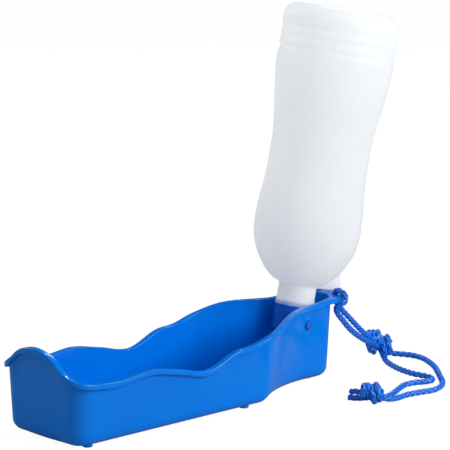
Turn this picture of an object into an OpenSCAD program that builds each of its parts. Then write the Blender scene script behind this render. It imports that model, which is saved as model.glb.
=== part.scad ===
// Travel water bottle for dogs: a squeeze bottle that folds down into its own drinking tray.
// +X points to the hinge end, +Y to the far side, +Z up. Millimetres.

/* [Tray] */
// Length of the tray's underside
tray_l = 230; // [215:1:250]
// Half width of the drinking trough at its underside
trough_half_w = 33.8; // [32.6:0.2:36]
// Half width of the hinge throat at its underside
throat_half_w = 12.9; // [12.5:0.1:14]
// Length over which the side walls close in to the throat
neck_in_l = 59; // [52:1:66]
// Length of the throat behind it
throat_l = 21; // [19:1:25]
// How far the closing-in walls rake forward at the bottom
neck_in_rake = 10.5; // [0:0.5:14]
// Wall thickness
wall = 1.5; // [1.2:0.1:2]
// Slope of the walls, sideways over height
draft = 0.052; // [0.03:0.002:0.07]
// Radius between the walls and the floor
floor_r = 6.5; // [4:0.5:8]
// How far the front wall bows out in its middle
front_bow = 0.8; // [0.4:0.1:2]
// Plan radius of the front corners
front_corner_r = 11; // [8:0.5:16]
// Plan radius of the rear corners
rear_corner_r = 9; // [7.5:0.5:11]

/* [Rim] */
// Height of the arch in the middle of the front wall
arch_h = 56.7; // [50:0.1:62]
// Height of the front corners
corner_h = 39.4; // [36:0.1:44]
// Height of the bulge in the trough's side
bulge_h = 39.9; // [38:0.1:44]
// Height of the grip dip in the trough's side
dip_h = 31.3; // [28:0.1:36]
// Height of the side walls along the throat
throat_h = 50.6; // [48:0.1:52]
// Height of the rear wall
rear_h = 52.4; // [50:0.1:54]
// How far the turned-out rim stands out from the wall
rim_w = 2.8; // [2.2:0.1:3.6]
// Depth of the rim's turned-down edge
rim_drop = 3.2; // [2.4:0.1:4]
// Thickness of the rim's turned-down edge
rim_t = 1.2; // [1:0.1:1.6]
// Extra reach of the rim at the rear, for the cord
ledge_w = 8; // [7.4:0.1:10]
// Distance of the cord holes behind the rear wall
cord_hole_back = 2.6; // [2.2:0.1:3]
// Radius of the two cord holes, one in each rear corner of the ledge
cord_hole_r = 2.4; // [2.2:0.1:2.6]
// Distance of the cord holes to each side of the middle
cord_hole_side = 9.7; // [9:0.1:10.4]

/* [Feet] */
// Height of the feet
foot_h = 1.1; // [0.6:0.1:2]
// Radius of the feet
foot_r = 3; // [2:0.1:3.5]
// Distance of the feet's centres from the edge of the underside
foot_inset = 6.3; // [5.5:0.1:7]

/* [Hinge] */
// Distance of the hinge axis from the foot of the rear wall
pivot_back = 23.6; // [22.6:0.2:25]
// Height of the hinge axis above the underside
pivot_h = 37.4; // [35:0.2:40]
// Lean of the bottle away from the tray, in degrees
lean = 12.8; // [5:0.2:16]
// Radius of the trunnions
trunnion_r = 2.4; // [2:0.1:3]
// Running clearance round the trunnions
trunnion_gap = 0.1; // [0.05:0.01:0.1]
// How far the trunnions stand out of the walls
trunnion_proud = 1.7; // [0.8:0.1:2.5]

/* [Cap] */
// Gap between the cap and the throat's walls where they are closest
cap_gap = 0.3; // [0.2:0.05:0.6]
// Wall thickness of the cap
cap_wall = 1.4; // [1.2:0.1:1.6]
// Height of the cap's rim above the hinge axis
cap_top = 13; // [11:0.2:14]
// Depth of the cap's inner floor below the hinge axis
cap_floor_depth = 3.5; // [3:0.1:5]
// Thickness of the cap's floor
cap_floor_t = 2.4; // [2:0.1:3]
// Outer radius of the spout
spout_r = 5; // [4.5:0.1:6]
// Bore radius of the spout
spout_bore_r = 3.2; // [2.6:0.1:3.6]
// Length of the spout below the cap
spout_l = 6; // [4:0.1:9]

/* [Collar] */
// Outer radius of the collar's sleeve round the neck
sleeve_r = 12.15; // [12:0.05:12.3]
// Wall thickness of the sleeve
sleeve_wall = 0.9; // [0.8:0.05:1]
// Height of the sleeve above the cap
sleeve_h = 11.2; // [10:0.1:11.4]
// Radius of the ring at the sleeve's foot
ring_r = 12.9; // [12.6:0.1:13]
// Height of the ring above the cap
ring_h = 2; // [1.4:0.1:2.6]
// Length of the skirt that grips the cap's rim
skirt_l = 2.4; // [1.6:0.1:3]
// Depth of the step in the cap's rim under the skirt
skirt_step = 0.5; // [0.4:0.05:0.6]
// Interference between the skirt and the cap
skirt_grip = 0.04; // [0.02:0.01:0.06]
// Half width of the stop block behind the neck
stop_half_w = 7; // [6:0.1:7.6]
// Wall thickness of the stop block
stop_wall = 1.8; // [1.4:0.1:2.4]
// How far the stop block reaches out over the rear wall
stop_over = 11.1; // [10:0.1:12]
// Gap between the stop block and the ledge that it stands on
stop_gap = 0.3; // [0.2:0.05:0.6]
// Height above the cap at which the stop block leaves the sleeve
stop_root = 4; // [3.6:0.1:6]

/* [Seals] */
// Thickness of the sealing washer
washer_t = 1.2; // [0.8:0.1:1.6]
// Inner radius of the sealing washer
washer_bore_r = 6; // [5:0.1:7]
// Radius of the valve's flange
valve_flange_r = 7.6; // [7.2:0.1:8.2]
// Thickness of the valve's flange
valve_flange_t = 0.8; // [0.6:0.1:1]
// Thickness of the valve's dome
valve_skin = 0.7; // [0.5:0.05:0.9]
// Width of the slit in the valve
slit_w = 0.3; // [0.2:0.05:0.4]

/* [Bottle] */
// Distance of the bottle's base from the hinge axis
bottle_l = 201; // [196:1:206]
// Wall thickness of the bottle
bottle_wall = 1.1; // [0.8:0.05:1.4]
// Gap between the threaded part of the neck and the cap
thread_gap = 0.4; // [0.3:0.05:0.6]
// Wall thickness of the threaded part of the neck
finish_wall = 1.5; // [1.2:0.1:1.8]
// Gap between the neck and the collar's sleeve
neck_gap = 0.35; // [0.3:0.05:0.5]
// Radius of the bottle where the shoulder starts
shoulder_foot_r = 12.15; // [11.8:0.05:13]
// Distance from the hinge axis to where the shoulder starts
neck_top = 24.7; // [24.6:0.1:26]
// Length of the shoulder along the axis
shoulder_l = 36; // [33:0.5:38]
// Radius at the shoulder
shoulder_r = 34.1; // [32.5:0.1:34.4]
// How round the shoulder is, from a sine curve at 0 to a quarter ellipse at 1
shoulder_round = 0.65; // [0.4:0.05:0.8]
// Radius at the waist
waist_r = 31.7; // [30:0.1:32.4]
// Radius at the base
base_r = 37.1; // [35:0.1:37.4]
// Radius of the edge round the base
base_edge_r = 9; // [6:0.1:11]
// Depth of the hollow in the base
base_hollow = 3.5; // [2:0.1:5]
// Distance from the base to the middle of the first groove
groove_start = 15.5; // [13:0.1:18]
// Distance between grooves
groove_pitch = 6.5; // [5.5:0.1:7.5]
// Number of grooves round the base
groove_count = 3; // [1:1:4]
// Depth of the grooves
groove_depth = 0.9; // [0.4:0.05:1.2]

/* [Cord] */
// Diameter of the cord
cord_d = 3.6; // [3:0.1:4]
// Sides of the cord's plain tube
cord_sides = 8; // [8:1:10]

/* [Hidden] */
fine = 72;
eps = 0.01;

tray_blue = "#0078E0";
cap_blue = "#0070DA";
silicone_grey = "#D9DEE2";
bottle_white = "#E3E7EE";
cord_blue = "#0A55C8";

// ---- Curves -------------------------------------------------------------------------------

function ease(t) = t * t * (3 - 2 * t);
function swell(t) = (1 - cos(180 * t)) / 2;
function mix(a, b, t) = a + (b - a) * t;
function clamp01(t) = min(1, max(0, t));
function part_way(v, a, b) = clamp01((v - a) / (b - a));

// Slope at point i of a list of [position, height], level at both ends
function knot_slope(p, i) =
    i == 0 || i == len(p) - 1 ? 0 : (p[i + 1][1] - p[i - 1][1]) / (p[i + 1][0] - p[i - 1][0]);

// Smooth height at position u through a list of [position, height]
function smooth_height(p, u) =
    let (
        v = min(max(u, p[0][0]), p[len(p) - 1][0]),
        i = max([for (k = [0:len(p) - 2]) if (p[k][0] <= v) k]),
        w = p[i + 1][0] - p[i][0],
        t = (v - p[i][0]) / w
    )
    (1 + 2 * t) * pow(1 - t, 2) * p[i][1] + t * pow(1 - t, 2) * w * knot_slope(p, i)
    + ease(t) * p[i + 1][1] - t * t * (1 - t) * w * knot_slope(p, i + 1);

// ---- Tray outline -------------------------------------------------------------------------

// The rim and walls are laid out by run: the way along one half of the outline, from the
// middle of the front wall, round the corner and then straight down the tray.
neck_in_end = tray_l - throat_l;
neck_in_start = neck_in_end - neck_in_l;
pivot_x = tray_l - pivot_back;
front_flat = trough_half_w - front_corner_r;
corner_run = front_corner_r * PI / 2;
side_shift = front_flat + corner_run - front_corner_r;
rear_run = tray_l + side_shift;

// Rim height along the run: arch, corner, bulge, grip dip, rise to the throat, rear wall
RIM = [
    [0, arch_h],
    [10.5, arch_h - 1.8],
    [17, arch_h - 5],
    [22, arch_h - 9],
    [27, corner_h + 4.2],
    [31.5, corner_h + 1.6],
    [37, corner_h],
    [57, corner_h - 1.8],
    [84, bulge_h],
    [107, mix(dip_h, bulge_h, 0.52)],
    [130, dip_h],
    [153, bulge_h - 0.8],
    [168, bulge_h + 0.7],
    [side_shift + mix(neck_in_start, neck_in_end, 0.1), mix(bulge_h, throat_h, 0.49)],
    [side_shift + mix(neck_in_start, neck_in_end, 0.42), throat_h - 0.4],
    [rear_run - 20, throat_h],
    [rear_run, rear_h]
];

side_steps = 16;
neck_in_steps = 14;
throat_steps = 3;
corner_steps = 6;
rear_steps = 7;
front_steps = 6;

// Stations of the near half: [x, y, outward x, outward y, run, rake share, ledge share]
function front_station(k) =
    let (t = k / front_steps) [-front_bow * swell(1 - t), -front_flat * t, -1, 0, front_flat * t, 0, 0];

function corner_station(k) =
    let (a = 90 * k / corner_steps)
    [front_corner_r * (1 - cos(a)), -(front_flat + front_corner_r * sin(a)),
     -cos(a), -sin(a), front_flat + corner_run * k / corner_steps, 0, 0];

function side_station(k) =
    let (x = mix(front_corner_r, neck_in_start, k / side_steps))
    [x, -trough_half_w, 0, -1, x + side_shift, 0, 0];

function neck_in_station(k) =
    let (
        t = k / neck_in_steps,
        x = mix(neck_in_start, neck_in_end, t),
        y = mix(trough_half_w, throat_half_w, ease(t)),
        slope = 6 * t * (1 - t) * (trough_half_w - throat_half_w) / (neck_in_end - neck_in_start),
        n = norm([slope, 1])
    )
    [x, -y, slope / n, -1 / n, x + side_shift, sin(180 * t), 0];

function throat_station(k) =
    let (x = mix(neck_in_end, tray_l - rear_corner_r, k / throat_steps))
    [x, -throat_half_w, 0, -1, x + side_shift, 0, 0];

function rear_station(k) =
    let (a = 90 * k / rear_steps)
    [tray_l - rear_corner_r * (1 - sin(a)), -(throat_half_w - rear_corner_r * (1 - cos(a))),
     sin(a), -cos(a), tray_l + side_shift - rear_corner_r * (1 - sin(a)), 0, pow(sin(a), 1.6)];

near_half = concat(
    [for (k = [0:front_steps - 1]) front_station(k)],
    [for (k = [0:corner_steps - 1]) corner_station(k)],
    [for (k = [0:side_steps - 1]) side_station(k)],
    [for (k = [0:neck_in_steps - 1]) neck_in_station(k)],
    [for (k = [0:throat_steps - 1]) throat_station(k)],
    [for (k = [0:rear_steps]) rear_station(k)]
);

function mirrored(s) = [s[0], -s[1], s[2], -s[3], s[4], s[5], s[6]];

// Whole outline, counter-clockwise from above
outline = concat(near_half, [for (k = [len(near_half) - 1:-1:1]) mirrored(near_half[k])]);

// A point of the shell: offset `out` from the wall line at height z
function shell_point(s, out, z) =
    let (
        reach = out + draft * z,
        back = neck_in_rake * (1 - min(1, z / throat_h)) * s[5]
    )
    [s[0] + s[2] * reach - back, s[1] + s[3] * reach, z];

// One station's section: up the outside, over the turned-down rim and down the inside
bend_steps = 4;
rim_soft = 0.5;

function section(s) =
    let (
        top = smooth_height(RIM, s[4]),
        edge = rim_w + ledge_w * s[6]
    )
    concat(
        [for (k = [0:bend_steps])
            let (a = 90 * k / bend_steps)
            shell_point(s, floor_r * (sin(a) - 1), floor_r * (1 - cos(a)))],
        [
            shell_point(s, 0, top - wall),
            shell_point(s, edge - rim_t, top - wall),
            shell_point(s, edge - rim_t, top - rim_drop),
            shell_point(s, edge - rim_soft / 2, top - rim_drop),
            shell_point(s, edge, top - rim_drop + rim_soft),
            shell_point(s, edge, top - 2 * rim_soft),
            shell_point(s, edge - rim_soft / 2, top - rim_soft / 3),
            shell_point(s, edge - 2 * rim_soft, top),
            shell_point(s, rim_soft - wall, top),
            shell_point(s, -wall, top - rim_soft)
        ],
        [for (k = [bend_steps:-1:0])
            let (a = 90 * k / bend_steps)
            shell_point(s, -floor_r + (floor_r - wall) * sin(a), floor_r - (floor_r - wall) * cos(a))]
    );

// Closed skin over a ring of equal sections
module lofted_ring(sections) {
    n = len(sections);
    m = len(sections[0]);
    points = [for (s = sections) each s];
    sides = [for (j = [0:n - 1], k = [0:m - 2])
        let (a = j * m + k, b = ((j + 1) % n) * m + k)
        each [[a, a + 1, b + 1], [a, b + 1, b]]];
    // Strips across the two flat ends, from each near station to its mirror
    strips = [for (j = [0:(n - 1) / 2 - 1])
        let (a = j, b = j + 1, c = n - 1 - j, d = (n - j) % n)
        each j == 0 ? [[a, b, c]] : [[a, b, c], [a, c, d]]];
    underside = [for (f = strips) [for (j = f) j * m]];
    inner_floor = [for (f = strips) [for (k = [2:-1:0]) f[k] * m + m - 1]];
    polyhedron(points, concat(sides, underside, inner_floor), convexity = 10);
}

// ---- Frame --------------------------------------------------------------------------------

// The origin is under the middle of the whole object at rest
front_x = -(front_bow + rim_w + draft * arch_h);
rear_x = pivot_x + (bottle_l - base_edge_r) * sin(lean) + (base_r - base_edge_r) * cos(lean)
    + base_edge_r;
middle_x = (front_x + rear_x) / 2;

// Places a piece drawn in the tray's own coordinates
module in_tray() {
    translate([-middle_x, 0, foot_h]) children();
}

// Places a piece drawn along the bottle's axis, with z = 0 on the hinge axis
module on_bottle_axis() {
    in_tray() translate([pivot_x, 0, pivot_h]) rotate([0, lean, 0]) children();
}

// ---- Tray ---------------------------------------------------------------------------------

rear_wall_x = tray_l + draft * rear_h;
cord_hole = [rear_wall_x + cord_hole_back, cord_hole_side];
foot_xs = [12.5, neck_in_start - 11];
rear_foot_x = tray_l - rear_corner_r - 4;

module foot(x, y) {
    translate([x, y, -foot_h]) cylinder(h = foot_h + wall / 2, r = foot_r, $fn = 36);
}

module tray() {
    color(tray_blue) in_tray() difference() {
        union() {
            lofted_ring([for (s = outline) section(s)]);
            for (side = [-1, 1]) {
                for (x = foot_xs) foot(x, side * (trough_half_w - foot_inset));
                foot(rear_foot_x, side * (throat_half_w - foot_inset));
            }
        }
        translate([pivot_x, 0, pivot_h]) rotate([90, 0, 0])
            cylinder(h = 4 * throat_half_w, r = trunnion_r + trunnion_gap, center = true, $fn = fine);
        for (side = [-1, 1])
            translate([cord_hole[0], side * cord_hole[1], rear_h - rim_drop])
                cylinder(h = 2 * rim_drop, r = cord_hole_r, $fn = fine);
    }
}

// ---- Hinge cap, collar and seals ------------------------------------------------------------

cap_floor = -cap_floor_depth;
cap_under = cap_floor - cap_floor_t;
cap_swing = norm([cap_under, throat_half_w / 2]);
cap_r = throat_half_w + draft * (pivot_h - cap_swing) - wall - cap_gap;
cap_bore_r = cap_r - cap_wall;
trunnion_end = throat_half_w + draft * pivot_h + trunnion_proud;
trunnion_soft = 0.5;

module trunnion(side) {
    rotate([-90 * side, 0, 0]) {
        cylinder(h = trunnion_end - trunnion_soft, r = trunnion_r, $fn = fine);
        translate([0, 0, trunnion_end - trunnion_soft])
            cylinder(h = trunnion_soft, r1 = trunnion_r, r2 = trunnion_r - trunnion_soft, $fn = fine);
    }
}

module hinge_cap() {
    color(cap_blue) on_bottle_axis() difference() {
        union() {
            translate([0, 0, cap_under])
                cylinder(h = cap_top - skirt_l - cap_under, r = cap_r, $fn = fine);
            translate([0, 0, cap_under])
                cylinder(h = cap_top - cap_under, r = cap_r - skirt_step, $fn = fine);
            translate([0, 0, cap_under - spout_l]) cylinder(h = spout_l + eps, r = spout_r, $fn = fine);
            for (side = [-1, 1]) trunnion(side);
        }
        translate([0, 0, cap_floor]) cylinder(h = cap_top - cap_floor + 1, r = cap_bore_r, $fn = fine);
        translate([0, 0, cap_floor - valve_flange_t])
            cylinder(h = valve_flange_t + 1, r = valve_flange_r + 0.1, $fn = fine);
        translate([0, 0, cap_under - spout_l - 1])
            cylinder(h = spout_l + cap_floor_t + 2, r = spout_bore_r, $fn = fine);
    }
}

// The collar snaps over the cap's rim. Its hollow stop block stands behind the neck and comes
// down on the rear ledge, which holds the bottle at its lean.
sleeve_bore_r = sleeve_r - sleeve_wall;
shoulder_gap = 0.4;
ledge_edge_x = rear_wall_x + rim_w + ledge_w - 2 * rim_soft;
stop_rise = rear_h + stop_gap - pivot_h;
stop_foot = (ledge_edge_x - pivot_x) * sin(lean) + stop_rise * cos(lean);
stop_reach = (rear_wall_x + stop_over - pivot_x - stop_foot * sin(lean)) / cos(lean);
stop_under = cap_top + stop_root;

// Side view of the stop block, drawn in by t at its outer face: up from the sleeve, along the
// foot and up its outer face, which is upright while the bottle leans
function stop_side(t) = [
    [0, stop_under],
    [sleeve_bore_r, stop_under],
    [sleeve_bore_r + stop_foot - stop_under, stop_foot],
    [stop_reach - t, stop_foot],
    [stop_reach - t - shoulder_l * tan(lean), stop_foot + shoulder_l],
    [0, stop_foot + shoulder_l]
];

module stop_prism(half_w, t) {
    rotate([90, 0, 0]) linear_extrude(2 * half_w, center = true) polygon(stop_side(t));
}

module stop_block() {
    difference() {
        stop_prism(stop_half_w, 0);
        translate([0, 0, -1]) stop_prism(stop_half_w - stop_wall, stop_wall);
    }
}

module neck_collar() {
    color(bottle_white) on_bottle_axis() difference() {
        union() {
            rotate_extrude($fn = fine) polygon([
                [0, cap_top - skirt_l],
                [ring_r, cap_top - skirt_l],
                [ring_r, cap_top + ring_h],
                [sleeve_r, cap_top + ring_h + ring_r - sleeve_r],
                [sleeve_r, cap_top + sleeve_h],
                [0, cap_top + sleeve_h]
            ]);
            stop_block();
        }
        translate([0, 0, cap_top - skirt_l - 1])
            cylinder(h = skirt_l + 1, r = cap_r - skirt_step - skirt_grip, $fn = fine);
        cylinder(h = stop_foot + shoulder_l, r = sleeve_bore_r, $fn = fine);
        rotate_extrude($fn = fine)
            polygon(concat(body_outline(-shoulder_gap), [[0, neck_top - shoulder_gap]]));
    }
}

valve_dome_r = spout_bore_r - 0.15;

module outlet_valve() {
    dome_z = cap_floor - valve_flange_t;
    color(silicone_grey) on_bottle_axis() difference() {
        union() {
            translate([0, 0, dome_z]) cylinder(h = valve_flange_t, r = valve_flange_r, $fn = fine);
            translate([0, 0, dome_z]) sphere(r = valve_dome_r, $fn = fine);
        }
        translate([0, 0, dome_z]) sphere(r = valve_dome_r - valve_skin, $fn = fine);
        translate([0, 0, dome_z])
            cylinder(h = valve_dome_r + 1, r = valve_dome_r - valve_skin, $fn = fine);
        translate([-slit_w / 2, -1.4, dome_z - valve_dome_r - 1])
            cube([slit_w, 2.8, valve_dome_r + 1]);
    }
}

module seal_washer() {
    color(silicone_grey) on_bottle_axis() translate([0, 0, cap_floor]) difference() {
        cylinder(h = washer_t, r = cap_bore_r - thread_gap / 2, $fn = fine);
        translate([0, 0, -1]) cylinder(h = washer_t + 2, r = washer_bore_r, $fn = fine);
    }
}

// ---- Bottle ---------------------------------------------------------------------------------

mouth = cap_floor + washer_t;
finish_r = cap_bore_r - thread_gap;
neck_r = sleeve_bore_r - neck_gap;
shoulder_top = neck_top + shoulder_l;
waist_start = shoulder_top + 2;
waist_low = shoulder_top + 40;
waist_end = shoulder_top + 50;
flare_end = bottle_l - groove_start - groove_pitch * (groove_count - 1) - groove_pitch / 2;
base_bend = bottle_l - base_edge_r;
base_flat_r = base_r - base_edge_r;

// Groove profile: how much the wall is drawn in at distance s from the hinge axis
function groove_at(s) =
    groove_depth * max([for (k = [0:groove_count - 1])
        let (d = abs(s - (bottle_l - groove_start - k * groove_pitch)) / (groove_pitch / 2))
        d < 1 ? pow(cos(90 * d), 2) : 0]);

// Share of the shoulder's widening at the share t of its length
function shoulder_curve(t) = mix(sin(90 * t), sqrt(1 - pow(1 - t, 2)), shoulder_round);

// Outer radius of the blown body at distance s from the hinge axis
function body_radius(s) =
    s < shoulder_top
        ? mix(shoulder_foot_r, shoulder_r, shoulder_curve(part_way(s, neck_top, shoulder_top)))
    : s < waist_end ? mix(shoulder_r, waist_r, swell(part_way(s, waist_start, waist_low)))
    : mix(waist_r, base_r, swell(part_way(s, waist_end, flare_end))) - groove_at(s);

// A point [radius, distance] of the body's wall, drawn in by t square to it
slope_probe = 0.1;

function body_point(s, t) =
    let (
        slope = (body_radius(s + slope_probe) - body_radius(s - slope_probe)) / (2 * slope_probe),
        n = norm([slope, 1])
    )
    [body_radius(s) - t / n, s + t * slope / n];

// Outline of the body, drawn in by t all over
shoulder_steps = 12;
body_steps = 18;
groove_steps = 6;
bend_points = 5;

function body_outline(t) = concat(
    [for (k = [0:shoulder_steps])
        body_point(mix(neck_top, shoulder_top, 1 - cos(90 * k / shoulder_steps)), t)],
    [for (k = [1:body_steps])
        let (s = mix(shoulder_top, flare_end, k / body_steps)) [body_radius(s) - t, s]],
    [for (k = [1:groove_steps * groove_count - 1])
        let (s = mix(flare_end, flare_end + groove_pitch * groove_count, k / (groove_steps * groove_count)))
        if (s < base_bend - 0.1) [body_radius(s) - t, s]],
    [for (k = [0:bend_points])
        let (a = 90 * k / bend_points)
        [base_flat_r + (base_edge_r - t) * cos(a), base_bend + (base_edge_r - t) * sin(a)]],
    [
        [base_flat_r * 0.86, bottle_l - t],
        [base_flat_r * 0.66, bottle_l - base_hollow * 0.8 - t],
        [0, bottle_l - base_hollow - t]
    ]
);

module bottle_form() {
    rotate_extrude($fn = fine) polygon(concat(
        [
            [0, mouth],
            [finish_r, mouth],
            [finish_r, cap_top],
            [neck_r, cap_top],
            [neck_r, neck_top]
        ],
        body_outline(0)
    ));
}

module bottle_cavity() {
    rotate_extrude($fn = fine) polygon(concat(
        [
            [0, mouth - 1],
            [finish_r - finish_wall, mouth - 1],
            [finish_r - finish_wall, neck_top + bottle_wall / 2]
        ],
        body_outline(bottle_wall)
    ));
}

module bottle() {
    color(bottle_white) on_bottle_axis() difference() {
        bottle_form();
        bottle_cavity();
    }
}

// ---- Lanyard --------------------------------------------------------------------------------

// Both halves of the cord leave the near hole in the ledge, one over the ledge's edge and one
// straight down, run through the upper knot, round the wrist loop on the ground and through the
// lower knot to their ends.
ROUTE_A = [
    [95.93, -9.7, 52.7], [95.95, -9.9, 54.7], [96.1, -11.3, 55.9], [96.2, -13.6, 56.1],
    [96, -16.2, 55.8], [95.6, -18.6, 54.8], [95.2, -20.2, 53], [94.4, -20.7, 51.2],
    [92.9, -20.4, 49.7], [91.2, -18.9, 48.2], [90.3, -17.2, 46.6], [91.2, -16, 44],
    [94, -15.6, 40.6], [98.2, -14.9, 36.6], [104.4, -13.2, 31.2], [111.2, -11.2, 26.2],
    [118.6, -9.2, 21.6], [126.6, -7, 17.2], [135, -4.8, 13.4],
    [145, -2, 8.6], [151.5, -0.6, 5], [156.5, -3, 2.4], [160.5, -8.5, 2], [163, -15, 2],
    [163, -23, 2], [159.5, -32.5, 2], [152.5, -45, 2], [144, -56, 2], [136.5, -65, 2],
    [129, -74, 2], [121, -80.5, 2], [111, -84, 2], [100, -82, 2], [90, -80.6, 2],
    [80, -81.6, 2], [71.5, -81.6, 3], [65, -78.6, 5.6], [62.4, -72.5, 6.8],
    [61.4, -66, 6.2], [59.5, -59.8, 5.6]
];
ROUTE_B = [
    [95.93, -9.7, 52.7], [95.95, -9.8, 50.2], [96.6, -10.6, 47.8], [98.4, -11.3, 45.2],
    [101, -11.2, 42.4], [104.2, -10.8, 39.6], [108, -10.6, 36.2], [113.5, -9.2, 31.8],
    [120, -7.4, 26.8], [127, -5.4, 21.8], [134.5, -3.4, 17], [141, -2, 12.6],
    [144.6, -3, 8], [143.4, -7.6, 3.6],
    [140, -13.4, 2], [136, -21, 2], [132.5, -30, 2], [130.4, -39, 2], [129.6, -48, 2],
    [130.8, -56, 2], [130.4, -62.8, 2], [126.6, -67, 2], [121, -66.8, 2], [114, -63.6, 2],
    [106, -63.2, 2], [98, -66.4, 2], [90, -70.4, 2], [82, -73.8, 2], [74, -76, 2.4],
    [67.5, -76.4, 4], [63.4, -72, 3.4], [61, -65.6, 2.2], [58.2, -59.6, 2]
];

function unit(v) = v / norm(v);
function tangent(p, k) = unit(p[min(k + 1, len(p) - 1)] - p[max(k - 1, 0)]);

// Side vectors carried along the route without twist
function carried_sides(p, k = 0, prev = [1, 0, 0]) =
    k == len(p) ? [] :
    let (t = tangent(p, k), s = unit(prev - (prev * t) * t))
    concat([s], carried_sides(p, k + 1, s));

module swept_cord(p) {
    n = cord_sides;
    m = len(p);
    sides = carried_sides(p);
    points = [for (k = [0:m - 1])
        let (t = tangent(p, k), u = sides[k], v = cross(t, u))
        for (j = [0:n - 1])
            p[k] + cord_d / 2 * (cos(360 * j / n) * u + sin(360 * j / n) * v)];
    skin = [for (k = [0:m - 2], j = [0:n - 1])
        let (a = k * n + j, b = k * n + (j + 1) % n)
        each [[a, a + n, b + n], [a, b + n, b]]];
    polyhedron(points, concat(skin, [[for (j = [0:n - 1]) j],
        [for (j = [n - 1:-1:0]) (m - 1) * n + j]]), convexity = 6);
}

// Keeps the whole lanyard at the near hole in the ledge
module at_cord_hole() {
    translate([cord_hole[0] - middle_x - ROUTE_A[0][0], -cord_hole[1] - ROUTE_A[0][1], 0])
        children();
}

module lanyard_strand_a() {
    color(cord_blue) at_cord_hole() swept_cord(ROUTE_A);
}

module lanyard_strand_b() {
    color(cord_blue) at_cord_hole() swept_cord(ROUTE_B);
}

// A knot is a thick closed form on the ground, midway between the points numbered in `at`,
// one of each route
knot_lift = 0.3;
upper_knot_at = [19, 12];
upper_knot = [8.2, 7.8, 9.6];
lower_knot_at = [36, 30];
lower_knot = [7.6, 7, 6.6];

module knot(at, size) {
    centre = (ROUTE_A[at[0]] + ROUTE_B[at[1]]) / 2;
    color(cord_blue) at_cord_hole() translate([centre[0], centre[1], size[2] + knot_lift])
        scale(size) sphere(r = 1, $fn = 12);
}

module knot_upper() {
    knot(upper_knot_at, upper_knot);
}

module knot_lower() {
    knot(lower_knot_at, lower_knot);
}

tray();
hinge_cap();
neck_collar();
outlet_valve();
seal_washer();
bottle();
lanyard_strand_a();
lanyard_strand_b();
knot_upper();
knot_lower();
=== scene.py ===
# %% [markdown]
# # A folding drinking bottle for walks
#
# The object is a long blue trough with a squeeze bottle standing in its narrow end. The bottle
# screws into a hinged cap, stands upside down over the trough when it is open and folds down
# into the trough for carrying. This notebook dresses that frame: it builds each piece again
# with soft moulded edges, real threads and a braided cord, and puts each on the body that it
# moves with. All lengths below are in millimetres until a mesh is made, because moulders think
# in them.

import math

import bmesh
import bpy
import numpy as np
from mathutils import Matrix, Vector


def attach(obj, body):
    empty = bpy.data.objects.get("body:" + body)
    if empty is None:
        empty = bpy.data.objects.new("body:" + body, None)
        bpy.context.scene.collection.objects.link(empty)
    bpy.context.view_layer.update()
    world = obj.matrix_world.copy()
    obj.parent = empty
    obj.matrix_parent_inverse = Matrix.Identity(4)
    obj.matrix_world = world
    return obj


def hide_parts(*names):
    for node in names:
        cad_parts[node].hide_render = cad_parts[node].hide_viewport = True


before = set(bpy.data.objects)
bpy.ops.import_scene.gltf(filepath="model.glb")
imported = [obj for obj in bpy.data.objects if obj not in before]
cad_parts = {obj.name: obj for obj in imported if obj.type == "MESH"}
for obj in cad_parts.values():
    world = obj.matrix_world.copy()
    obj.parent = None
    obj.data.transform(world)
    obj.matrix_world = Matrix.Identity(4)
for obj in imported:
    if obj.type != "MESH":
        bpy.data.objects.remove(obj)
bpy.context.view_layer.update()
MM = 0.001

# %% [markdown]
# ## Camera
#
# A long product is best seen from far off through a long lens, so that the walls of the trough
# stay nearly parallel. The camera could be turned by hand until it looks right, but an azimuth,
# an elevation and a distance can be tuned one at a time, and they place the lamps as well. The
# camera comes first, because everything after it is judged through it.

# %% Camera
AZIMUTH, ELEVATION = -42.79, 12.09
DISTANCE = 1858.6 * MM
LOOK_AT = Vector((9.08, 0, 109.63)) * MM
SENSOR_WIDTH, FOCAL_LENGTH, FARTHEST = 36, 240, 20


def stand_off(stander, target, azimuth, elevation, distance):
    """Puts a camera or a lamp a distance off in a direction in degrees, turned to the target."""
    a, e = math.radians(azimuth), math.radians(elevation)
    towards = Vector((math.sin(a) * math.cos(e), -math.cos(a) * math.cos(e), math.sin(e)))
    stander.location = target + towards * distance
    stander.rotation_euler = towards.to_track_quat("Z", "Y").to_euler()
    bpy.context.scene.collection.objects.link(stander)


camera_data = bpy.data.cameras.new("camera")
camera_data.sensor_width = SENSOR_WIDTH
camera_data.lens = FOCAL_LENGTH
camera_data.clip_end = FARTHEST
camera = bpy.data.objects.new("camera", camera_data)
stand_off(camera, LOOK_AT, AZIMUTH, ELEVATION, DISTANCE)
bpy.context.scene.camera = camera
print("camera stands at", [round(v, 3) for v in camera.location])

# %% [markdown]
# ## Turning lists of points into pieces
#
# Nearly everything here is a grid of points: rings round an axis, sections along an outline or
# circles along a cord. One helper lists the faces of such a grid and another makes a piece of
# them. Writing the grid with numpy keeps it fast enough for a very fine mesh, which a plain
# subdivision would only round off.

# %% Helpers for numbers


def mix(a, b, t):
    return a + (b - a) * t


def ease(t):
    return t * t * (3 - 2 * t)


def swell(t):
    return (1 - np.cos(math.pi * t)) / 2


def between(low, high, step):
    """Numbers from low to high in even steps no longer than the given one."""
    return np.linspace(low, high, max(2, math.ceil(abs(high - low) / step) + 1))


# %% Helpers for profiles


def arc(centre, radius, start_deg, end_deg, steps):
    """Points (out, up) of an arc, both ends included."""
    angles = np.radians(np.linspace(start_deg, end_deg, steps + 1))
    return [(centre[0] + radius * math.cos(a), centre[1] + radius * math.sin(a)) for a in angles]


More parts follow.
